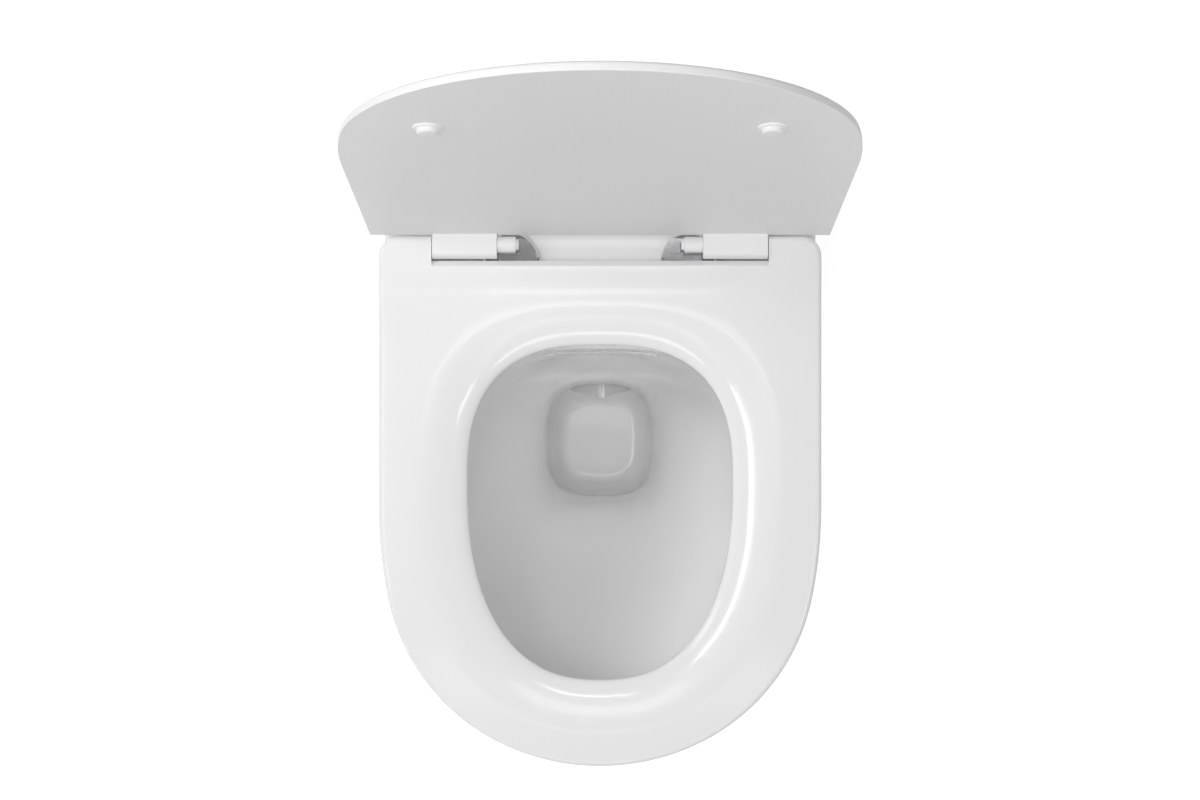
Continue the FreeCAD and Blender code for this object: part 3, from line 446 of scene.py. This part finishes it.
def opening_line(out):
    """The opening, or a line that far outside it, drawn closer together at the rear."""
    t = np.linspace(0, 2 * math.pi, CURVE_STEPS, endpoint=False)
    c, s = np.cos(t), np.sin(t)
    power = np.where(s >= 0, REAR_POWER, FRONT_POWER)
    reach = np.where(s >= 0, OPENING_REAR - MIDDLE + out * REAR_SHARE, MIDDLE - OPENING_FRONT + out)
    x = (OPENING_HALF + out) * np.sign(c) * np.abs(c) ** (2 / power)
    return on_rays(np.stack([x, MIDDLE + reach * np.sign(s) * np.abs(s) ** (2 / power)], 1))


print("opening from", np.round(opening_line(0.0).min(0), 4), "to", np.round(opening_line(0.0).max(0), 4))

# %% [markdown]
# The outline is a D. Each half has a straight rear, a small corner, a straight side and three
# arcs that run to the nose. Each arc starts where the last one ends and in its direction, so
# there is no kink. The last arc's radius and the straight side's end follow from width and nose.

# %% Ring: the outline
CORNER, LINE_STEPS = 16.0 * MM, 400
NOSE_ARCS = ((368.5 * MM, 11.59), (168.7 * MM, 51.83))  # radius, and turn in degrees


def outer_line(inset):
    """The ring's outline, or a line that far inside it: rear, corner, side and three nose arcs."""
    turns = [math.radians(turn) for _, turn in NOSE_ARCS]
    first, second = (radius for radius, _ in NOSE_ARCS)
    reach = first * (1 - math.cos(turns[0])) + second * (math.cos(turns[0]) - math.cos(sum(turns)))
    arcs = ((first, turns[0]), (second, turns[1]),
            ((HALF_WIDTH - reach) / math.cos(sum(turns)), math.pi / 2 - sum(turns)))
    marks = np.cumsum([0.0] + [turn for _, turn in arcs])
    side_end = NOSE + inset + sum((radius - inset) * (math.sin(b) - math.sin(a))
                                  for (radius, _), a, b in zip(arcs, marks, marks[1:]))
    half, rear, bend = HALF_WIDTH - inset, REAR - inset, CORNER - inset
    t = np.linspace(0, math.pi / 2, LINE_STEPS // 2)
    across = np.linspace(0, 1, LINE_STEPS)
    x = [across * (half - bend), half - bend + bend * np.sin(t), np.full(LINE_STEPS, half)]
    y = [np.full(LINE_STEPS, rear), rear - bend + bend * np.cos(t),
         rear - bend + across * (side_end - rear + bend)]
    at_x, at_y = half, side_end
    for (radius, _), a, b in zip(arcs, marks, marks[1:]):
        t, radius = np.linspace(a, b, LINE_STEPS), radius - inset
        centre_x, centre_y = at_x - radius * math.cos(a), at_y + radius * math.sin(a)
        x.append(centre_x + radius * np.cos(t))
        y.append(centre_y - radius * np.sin(t))
        at_x, at_y = x[-1][-1], y[-1][-1]
    x, y = np.concatenate(x), np.concatenate(y)
    return on_rays(np.concatenate([np.stack([x, y], 1), np.stack([-x, y], 1)]))


print("outline from", np.round(outer_line(0.0).min(0), 4), "to", np.round(outer_line(0.0).max(0), 4))

# %% [markdown]
# The sheet's rows lie close together where the rule will bend it most: at the opening's lip, at
# the outer edge and at the foot. In between a few rows are enough, because only the gentle step
# up to the hinges bends there.

# %% Ring: the flat sheet
DISH_REACH, EDGE_BAND, FOOT_ROLL = 41.0 * MM, 9.0 * MM, 2.5 * MM
DISH_ROWS, DISH_CROWDING, EDGE_ROWS, FOOT_ROWS = 34, 1.8, 15, 6
STEPS_OVER, STEPS_UNDER = 8, 4


def sheet_rows(near_opening, between, near_edge):
    """Rows of points from the opening to the outer edge, each with its two distances."""
    inner = [(opening_line(out), out, EDGE_BAND) for out in near_opening]
    outer = [(outer_line(inset), DISH_REACH, inset) for inset in near_edge]
    start, end = inner[-1][0], outer[0][0]
    middle = [(start + (end - start) * k / between, DISH_REACH, EDGE_BAND) for k in range(1, between)]
    return inner + middle + outer


def flat_sheet():
    near_opening = DISH_REACH * np.linspace(0, 1, DISH_ROWS) ** DISH_CROWDING
    near_edge = EDGE_BAND * (1 - np.sin(np.linspace(0, math.pi / 2, EDGE_ROWS)))
    near_foot = FOOT_ROLL * (1 - np.sin(np.linspace(0, math.pi / 2, FOOT_ROWS)))
    top = sheet_rows(near_opening, STEPS_OVER, near_edge)
    under = sheet_rows(np.append(near_foot[::-1], DISH_REACH), STEPS_UNDER,
                       np.insert(near_foot, 0, EDGE_BAND))
    rows = [row + (0.0,) for row in top] + [row + (1.0,) for row in reversed(under)]
    flat = np.concatenate([np.c_[line, np.zeros(RAYS)] for line, _, _, _ in rows])
    count = len(rows)
    faces = [(r * RAYS + i, (r + 1) % count * RAYS + i, (r + 1) % count * RAYS + (i + 1) % RAYS,
              r * RAYS + (i + 1) % RAYS) for r in range(count) for i in range(RAYS)]
    mesh = bpy.data.meshes.new("ring_sheet")
    mesh.from_pydata(flat.tolist(), [], faces)
    for name, place in (("from_opening", 1), ("from_edge", 2), ("underside", 3)):
        layer = mesh.attributes.new(name, "FLOAT", "POINT")
        layer.data.foreach_set("value", np.repeat([row[place] for row in rows], RAYS))
    return mesh


seat_ring = bpy.data.objects.new("moulded_seat_ring", flat_sheet())
scene.collection.objects.link(seat_ring)
print(len(seat_ring.data.polygons), "faces in the sheet")

# %% [markdown]
# A Geometry Nodes tree will lift the flat sheet by the rule. Such a tree can be wired up by hand
# in the node editor. In a script each node takes several lines, so a small class first gives the
# common ones short names. Every such tree in this file is built with it.

# %% A builder for node trees
class Tree:
    """A Geometry Nodes tree under construction, with a few words for common nodes."""

    def __init__(self, name, inputs):
        self.group = bpy.data.node_groups.new(name, "GeometryNodeTree")
        self.group.interface.new_socket("Geometry", in_out="INPUT", socket_type="NodeSocketGeometry")
        for label, kind in inputs:
            self.group.interface.new_socket(label, in_out="INPUT", socket_type=kind)
        self.group.interface.new_socket("Geometry", in_out="OUTPUT", socket_type="NodeSocketGeometry")
        self.given = self.group.nodes.new("NodeGroupInput")
        self.result = self.group.nodes.new("NodeGroupOutput")

    def node(self, kind, inputs=(), **settings):
        node = self.group.nodes.new(kind)
        for name, value in settings.items():
            setattr(node, name, value)
        for label, value in dict(inputs).items():
            socket = node.inputs[label]
            if isinstance(value, bpy.types.NodeSocket):
                self.group.links.new(value, socket)
            else:
                socket.default_value = value
        return node

    def maths(self, operation, first, second=0.0):
        """One arithmetic step."""
        return self.node("ShaderNodeMath", {0: first, 1: second}, operation=operation).outputs[0]

    def named(self, label):
        node = self.node("GeometryNodeInputNamedAttribute", {"Name": label}, data_type="FLOAT")
        return node.outputs["Attribute"]

    def spread(self, value, low, high, to_low, to_high, interpolation="LINEAR"):
        node = self.node("ShaderNodeMapRange", {
            "Value": value, "From Min": low, "From Max": high, "To Min": to_low, "To Max": to_high,
        }, interpolation_type=interpolation)
        return node.outputs["Result"]

    def finish(self, geometry):
        """Close the tree: real geometry and one material."""
        real = self.node("GeometryNodeRealizeInstances", {"Geometry": geometry})
        done = self.node("GeometryNodeSetMaterial", {
            "Geometry": real.outputs["Geometry"], "Material": self.given.outputs["Material"]})
        self.group.links.new(done.outputs["Geometry"], self.result.inputs["Geometry"])
        return self.group


print("a tree's words:", ", ".join(word for word in vars(Tree) if not word.startswith("_")))

# %% [markdown]
# The rule's inputs are the sizes a moulder would quote: how deep the dish goes, how far the edge
# rolls, how high the rear stands. Changing one reshapes the whole ring, and nothing has to be
# redrawn. Only the dish has no formula, so its fall from the flat to the lip is a drawn curve.

# %% Ring: the rule
def curve_node(tree, value, points):
    """A drawn curve from 0 to 1, smooth through the given points."""
    node = tree.node("ShaderNodeFloatCurve", {"Value": value})
    line = node.mapping.curves[0]
    line.points[0].location, line.points[1].location = points[0], points[-1]
    for point in points[1:-1]:
        line.points.new(*point)
    node.mapping.update()
    return node.outputs["Value"]


PLATEAU_RISE, PLATEAU_FRONT, PLATEAU_FOOT = 2.2 * MM, -116.3 * MM, -135.3 * MM
DISH_DEPTH, SIDE_ROLL, REAR_ROLL, REAR_BLEND = 11.0 * MM, 3.6 * MM, 5.0 * MM, 8.0 * MM
DISH_SHAPE = ((0.0, 1.0), (0.012, 0.82), (0.06, 0.65), (0.146, 0.49), (0.268, 0.355),
              (0.415, 0.245), (0.61, 0.134), (0.8, 0.05), (1.0, 0.0))


def quarter_roll(tree, distance, radius):
    """How far a rounded edge has dropped at some distance in from it."""
    left = tree.maths("MAXIMUM", tree.maths("SUBTRACT", radius, distance), 0.0)
    squares = tree.maths("SUBTRACT", tree.maths("MULTIPLY", radius, radius),
                         tree.maths("MULTIPLY", left, left))
    return tree.maths("SUBTRACT", radius, tree.maths("SQRT", tree.maths("MAXIMUM", squares, 0.0)))


def ring_rule():
    tree = Tree("ring_section", [(label, "NodeSocketFloat") for label in (
        "Sitting Height", "Thickness", "Dish Reach", "Dish Depth", "Side Roll", "Rear Roll",
        "Foot Roll", "Plateau Rise", "Plateau Front", "Plateau Foot")]
        + [("Material", "NodeSocketMaterial")])
    sizes = tree.given.outputs
    place = tree.node("GeometryNodeInputPosition").outputs[0]
    y = tree.node("ShaderNodeSeparateXYZ", {0: place}).outputs["Y"]
    edge = tree.named("from_edge")
    share = tree.maths("DIVIDE", tree.named("from_opening"), sizes["Dish Reach"])
    dish = tree.maths("MULTIPLY", curve_node(tree, share, DISH_SHAPE), sizes["Dish Depth"])
    roll_radius = tree.spread(y, sizes["Plateau Front"], REAR - REAR_BLEND, sizes["Side Roll"],
                              sizes["Rear Roll"], "SMOOTHSTEP")
    raised = tree.spread(y, sizes["Plateau Foot"], sizes["Plateau Front"], 0.0, sizes["Plateau Rise"],
                         "SMOOTHSTEP")
    top = tree.maths("ADD", sizes["Sitting Height"], raised)
    top = tree.maths("SUBTRACT", top, dish)
    top = tree.maths("SUBTRACT", top, quarter_roll(tree, edge, roll_radius))
    nearest = tree.maths("MINIMUM", edge, tree.named("from_opening"))
    under = tree.maths("SUBTRACT", sizes["Sitting Height"], sizes["Thickness"])
    under = tree.maths("ADD", under, quarter_roll(tree, nearest, sizes["Foot Roll"]))
    height = tree.spread(tree.named("underside"), 0.0, 1.0, top, under)
    lift = tree.node("ShaderNodeCombineXYZ", {"Z": height}).outputs[0]
    return tree.finish(tree.node("GeometryNodeSetPosition", {
        "Geometry": sizes["Geometry"], "Offset": lift}).outputs["Geometry"])


ring_section = ring_rule()
print("the ring's rule has", len(ring_section.nodes), "nodes")


# %% [markdown]
# A tree on a modifier stays live, which is handy while the sizes are being chosen. Here the
# result is kept as a plain mesh, because a Boolean and the joints come next. Each input is set
# by its identifier, before anything is evaluated.

# %% Ring: lift the sheet
def apply_tree(piece, group, values):
    """Run a tree on a piece with the given sizes, and keep the result as its plain mesh."""
    modifier = piece.modifiers.new(group.name, "NODES")
    modifier.node_group = group
    for item in group.interface.items_tree:
        if item.in_out == "INPUT" and item.name in values:
            modifier[item.identifier] = values[item.name]
    return bake_modifiers(piece)


def bake_modifiers(piece):
    seen = piece.evaluated_get(bpy.context.evaluated_depsgraph_get())
    mesh = bpy.data.meshes.new_from_object(seen)
    piece.modifiers.clear()
    piece.data = mesh
    return mesh


apply_tree(seat_ring, ring_section, {
    "Sitting Height": RING_TOP, "Thickness": RING_THICKNESS, "Dish Reach": DISH_REACH,
    "Dish Depth": DISH_DEPTH, "Side Roll": SIDE_ROLL, "Rear Roll": REAR_ROLL, "Foot Roll": FOOT_ROLL,
    "Plateau Rise": PLATEAU_RISE, "Plateau Front": PLATEAU_FRONT, "Plateau Foot": PLATEAU_FOOT,
    "Material": finishes["duroplast"]})
print("ring lifted:", len(seat_ring.data.vertices), "points")

# %% [markdown]
# All that is cut from the ring runs straight across it, along the hinge line. So one helper
# turns a side view into a closed prism, and another takes prisms away with a Boolean, as the
# inserts of a mould would. The model's own lid hinge says where the hinge line is.

# %% Cutting across the ring
lid_hinge = next(joint for joint in frame["joints"] if joint["name"] == "lid_hinge")
_, HINGE_Y, HINGE_Z = lid_hinge["pos_m"]


def prism_across(name, profile, half):
    """A closed prism along X from a profile of (y, z) points."""
    shape = bmesh.new()
    ends = [[shape.verts.new((side * half, y, z)) for y, z in profile] for side in (-1, 1)]
    shape.faces.new(ends[0])
    shape.faces.new(list(reversed(ends[1])))
    for k in range(len(profile)):
        n = (k + 1) % len(profile)
        shape.faces.new((ends[0][n], ends[0][k], ends[1][k], ends[1][n]))
    bmesh.ops.recalc_face_normals(shape, faces=shape.faces)
    mesh = bpy.data.meshes.new(name)
    shape.to_mesh(mesh)
    shape.free()
    return mesh


def cut(piece, meshes):
    """Take closed shapes away from a piece."""
    tools = []
    for mesh in meshes:
        tool = bpy.data.objects.new(mesh.name, mesh)
        scene.collection.objects.link(tool)
        boolean = piece.modifiers.new(mesh.name, "BOOLEAN")
        boolean.operation, boolean.object, boolean.solver = "DIFFERENCE", tool, "EXACT"
        tools.append(tool)
    bake_modifiers(piece)
    for tool in tools:
        bpy.data.objects.remove(tool)


print("hinge line at y", HINGE_Y, "and z", HINGE_Z)

# %% [markdown]
# The hinges stand in a cut-out at the rear of the ring. One profile holds the cut-out and the
# bevel along its front edge. The two ears beside it are bored for the shafts, and the right one
# also has a square slot, which holds the tang of its damper so that the two turn together.

# %% Ring: hinge cut-out and bores
NOTCH_HALF = 136.8 * MM
NOTCH_FRONT = HINGE_Y - 13.1 * MM
BEVEL_RUN, BEVEL_DROP = 4.3 * MM, 4.8 * MM
BORE_RADIUS, BORE_DEPTH, BORE_SIDES = 3.05 * MM, 21.2 * MM, 40
TANG_SIZE, TANG_DEPTH = 7.4 * MM, 6.0 * MM

plateau_top, above, below = RING_TOP + PLATEAU_RISE, 8.0 * MM, RING_BOTTOM - 2.0 * MM
bevel_top = plateau_top + above
bevel_out = NOTCH_FRONT - BEVEL_RUN * (1 + above / BEVEL_DROP)
notch = prism_across("notch", [
    (NOTCH_FRONT, below), (NOTCH_FRONT, plateau_top - BEVEL_DROP), (bevel_out, bevel_top),
    (0.0, bevel_top), (0.0, below)], NOTCH_HALF)
circle = [(HINGE_Y + BORE_RADIUS * math.cos(t), HINGE_Z + BORE_RADIUS * math.sin(t))
          for t in np.linspace(0, 2 * math.pi, BORE_SIDES, endpoint=False)]
half_tang = TANG_SIZE / 2
square = [(HINGE_Y + a * half_tang, HINGE_Z + b * half_tang)
          for a, b in ((-1, -1), (1, -1), (1, 1), (-1, 1))]
tang_slot = prism_across("tang_slot", square, TANG_DEPTH / 2)
for vertex in tang_slot.vertices:
    vertex.co.x += NOTCH_HALF + TANG_DEPTH / 2
cut(seat_ring, [notch])
cut(seat_ring, [prism_across("bore", circle, NOTCH_HALF + BORE_DEPTH), tang_slot])
print("ring cut:", len(seat_ring.data.polygons), "faces")

# %% [markdown]
# A Boolean can leave pairs of points in the same place. Merging them closes the shell again.
# Smooth shading then hides the facets, except at the cut edges, which are sharper than the rest.

# %% Ring: close, smooth and hand over
WELD, RING_CREASE = 0.01 * MM, math.radians(32)
ring_shape = bmesh.new()
ring_shape.from_mesh(seat_ring.data)
bmesh.ops.remove_doubles(ring_shape, verts=ring_shape.verts, dist=WELD)
open_edges = sum(not edge.is_manifold for edge in ring_shape.edges)
ring_shape.to_mesh(seat_ring.data)
ring_shape.free()
seat_ring.data.shade_smooth()
seat_ring.data.set_sharp_from_angle(angle=RING_CREASE)
seat_ring.data.materials.clear()
seat_ring.data.materials.append(finishes["duroplast"])
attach(seat_ring, "ring")
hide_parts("seat_ring")
print("ring has", len(seat_ring.data.polygons), "faces and", open_edges, "open edges")

# %% [markdown]
# Under the ring sit four soft pads, and inside the lid two smaller ones with a collar. All six
# are turned shapes, so one kind of tree makes them: a cylinder whose radius follows a drawn
# curve along its height, set down wherever a point is given.

# %% Pads: the tree
PAD_CREASE = math.radians(50)


def pad_tree(name, outline):
    """Turned pads on points. The outline gives the radius as shares, from the foot to the tip."""
    tree = Tree(name, [("Radius", "NodeSocketFloat"), ("Height", "NodeSocketFloat"),
                       ("Turn", "NodeSocketVector"), ("Material", "NodeSocketMaterial")])
    sizes = tree.given.outputs
    blank = tree.node("GeometryNodeMeshCylinder", {
        "Vertices": 64, "Side Segments": 60, "Fill Segments": 4, "Radius": 1.0, "Depth": 1.0})
    along = tree.node("ShaderNodeSeparateXYZ", {0: tree.node("GeometryNodeInputPosition").outputs[0]})
    share = tree.maths("ADD", along.outputs["Z"], 0.5)
    width = tree.maths("MULTIPLY", curve_node(tree, share, outline), sizes["Radius"])
    place = tree.node("ShaderNodeCombineXYZ", {
        "X": tree.maths("MULTIPLY", along.outputs["X"], width),
        "Y": tree.maths("MULTIPLY", along.outputs["Y"], width),
        "Z": tree.maths("MULTIPLY", share, sizes["Height"])})
    turned = tree.node("GeometryNodeSetPosition", {
        "Geometry": blank.outputs["Mesh"], "Position": place.outputs[0]})
    pads = tree.node("GeometryNodeInstanceOnPoints", {
        "Points": sizes["Geometry"], "Instance": turned.outputs["Geometry"], "Rotation": sizes["Turn"]})
    return tree.finish(pads.outputs["Instances"])


def pads(name, places, outline, values, node, body):
    """Pads at some places, standing for a packed node and riding on its body."""
    mesh = bpy.data.meshes.new(name)
    mesh.from_pydata([tuple(place) for place in places], [], [])
    piece = bpy.data.objects.new(name, mesh)
    scene.collection.objects.link(piece)
    apply_tree(piece, pad_tree(name + "_tree", outline), {**values, "Material": finishes["buffer"]})
    piece.data.shade_smooth()
    piece.data.set_sharp_from_angle(angle=PAD_CREASE)
    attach(piece, body)
    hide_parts(node)
    return piece


print("pads take", finishes["buffer"].name)

# %% [markdown]
# The ring's pads are plain buttons that carry the ring on the pan's rim. Two sit on each side,
# one near the hinge and one near the nose, and all four are turned over to point downwards.

# %% Pads under the ring
pad_low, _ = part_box("ring_buffers")
RING_PAD_RADIUS = 9.0 * MM
RING_PAD_SPOTS = ((30.0 * MM, -165.0 * MM), (48.0 * MM, NOSE + 102.0 * MM))
ring_places = [(side * (HALF_WIDTH - band), y, RING_BOTTOM)
               for side in (-1, 1) for band, y in RING_PAD_SPOTS]
RING_PAD = ((0.0, 1.0), (0.3, 1.0), (0.7, 0.99), (0.86, 0.965), (0.95, 0.9), (1.0, 0.8))
ring_pads = pads("ring_pads", ring_places, RING_PAD, {
    "Radius": RING_PAD_RADIUS, "Height": RING_BOTTOM - pad_low.z, "Turn": (math.pi, 0.0, 0.0),
}, "ring_buffers", "ring")
print("pads under the ring:", len(ring_pads.data.polygons), "faces")

# %% [markdown]
# The lid's pads keep it from knocking on the ring. They are easiest to place on the closed lid,
# straight above the ring. The lid is drawn standing open, so each place is then swung up about
# the hinge line, as the lid is.

# %% Pads inside the lid
LID_OPEN = math.radians(99.8)
LID_GAP = 4.7 * MM
LID_PAD_RADIUS, LID_PAD_HEIGHT = 10.4 * MM, 5.1 * MM
LID_PAD_BAND, LID_PAD_FROM_NOSE = 62.6 * MM, 116.7 * MM


def opened(x, y, z):
    """Where a point of the closed lid lies once the lid stands open."""
    y, z = y - HINGE_Y, z - HINGE_Z
    c, s = math.cos(LID_OPEN), math.sin(LID_OPEN)
    return x, HINGE_Y + y * c + z * s, HINGE_Z - y * s + z * c


lid_places = [opened(side * (HALF_WIDTH - LID_PAD_BAND), NOSE + LID_PAD_FROM_NOSE,
                     RING_TOP + LID_GAP) for side in (-1, 1)]
LID_PAD = ((0.0, 1.0), (0.2, 1.0), (0.27, 0.96), (0.31, 0.76), (0.4, 0.74), (0.7, 0.73),
           (0.88, 0.68), (0.96, 0.6), (1.0, 0.45))
lid_pads = pads("lid_pads", lid_places, LID_PAD, {
    "Radius": LID_PAD_RADIUS, "Height": LID_PAD_HEIGHT, "Turn": (math.pi - LID_OPEN, 0.0, 0.0),
}, "lid_buffers", "lid")

# %% [markdown]
# Behind each release button sits a coil spring, which has to shorten as the button goes in. A
# rigid copy would cut into the button, so the coil is drawn anew, as a wire swept along a
# spiral.

# %% Springs behind the buttons
SPRING_WIRE, SPRING_TURNS, BUTTON_TRAVEL = 0.8 * MM, 3.0, 2.4 * MM


def spring_tree():
    tree = Tree("coil_spring", [("Radius", "NodeSocketFloat"), ("Wire", "NodeSocketFloat"),
                                ("Turns", "NodeSocketFloat"), ("Length", "NodeSocketFloat"),
                                ("Turn", "NodeSocketVector"), ("Place", "NodeSocketVector"),
                                ("Material", "NodeSocketMaterial")])
    sizes = tree.given.outputs
    path = tree.node("GeometryNodeCurveSpiral", {
        "Resolution": 48, "Rotations": sizes["Turns"], "Start Radius": sizes["Radius"],
        "End Radius": sizes["Radius"], "Height": sizes["Length"]})
    wire = tree.node("GeometryNodeCurvePrimitiveCircle", {"Resolution": 14, "Radius": sizes["Wire"]})
    coil = tree.node("GeometryNodeCurveToMesh", {
        "Curve": path.outputs["Curve"], "Profile Curve": wire.outputs["Curve"], "Fill Caps": True})
    return tree.finish(tree.node("GeometryNodeTransform", {
        "Geometry": coil.outputs["Mesh"], "Rotation": sizes["Turn"],
        "Translation": sizes["Place"]}).outputs["Geometry"])


for side, hand in ((-1, "left"), (1, "right")):
    low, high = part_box(hand + "_button_spring")
    near, far = sorted((low.x, high.x), key=abs)
    length = abs(far - near)
    spring = bpy.data.objects.new(hand + "_coil_spring", bpy.data.meshes.new(hand + "_coil_spring"))
    scene.collection.objects.link(spring)
    apply_tree(spring, spring_tree(), {
        "Radius": (high.z - low.z - SPRING_WIRE) / 2, "Wire": SPRING_WIRE / 2, "Turns": SPRING_TURNS,
        "Length": length - SPRING_WIRE, "Turn": (0.0, side * math.pi / 2, 0.0),
        "Place": (near + side * SPRING_WIRE / 2, HINGE_Y, HINGE_Z), "Material": finishes["steel"]})
    spring.data.shade_smooth()
    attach(spring, "hinge_carrier")
    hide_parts(hand + "_button_spring")
    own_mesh(spring)
    print(hand, "spring", round(length / MM, 2), "mm long,", len(spring.data.polygons), "faces")

# %% [markdown]
# The carried-over pieces keep the mesh that the packed model gives them and only take a finish.
# The record says which slot each piece was made from, so one loop dresses them all.

# %% Dress the carried-over pieces
slot_of = {part["node"]: part["material_slot"] for part in frame["record"]["subparts"]}
carried_over = {node: piece for node, piece in frame["nodes"].items() if not piece.hide_render}
for node, piece in carried_over.items():
    piece.data.materials.clear()
    piece.data.materials.append(finishes["lid" if node == "seat_lid" else slot_of[node]])
print(len(carried_over), "pieces dressed")

# %% [markdown]
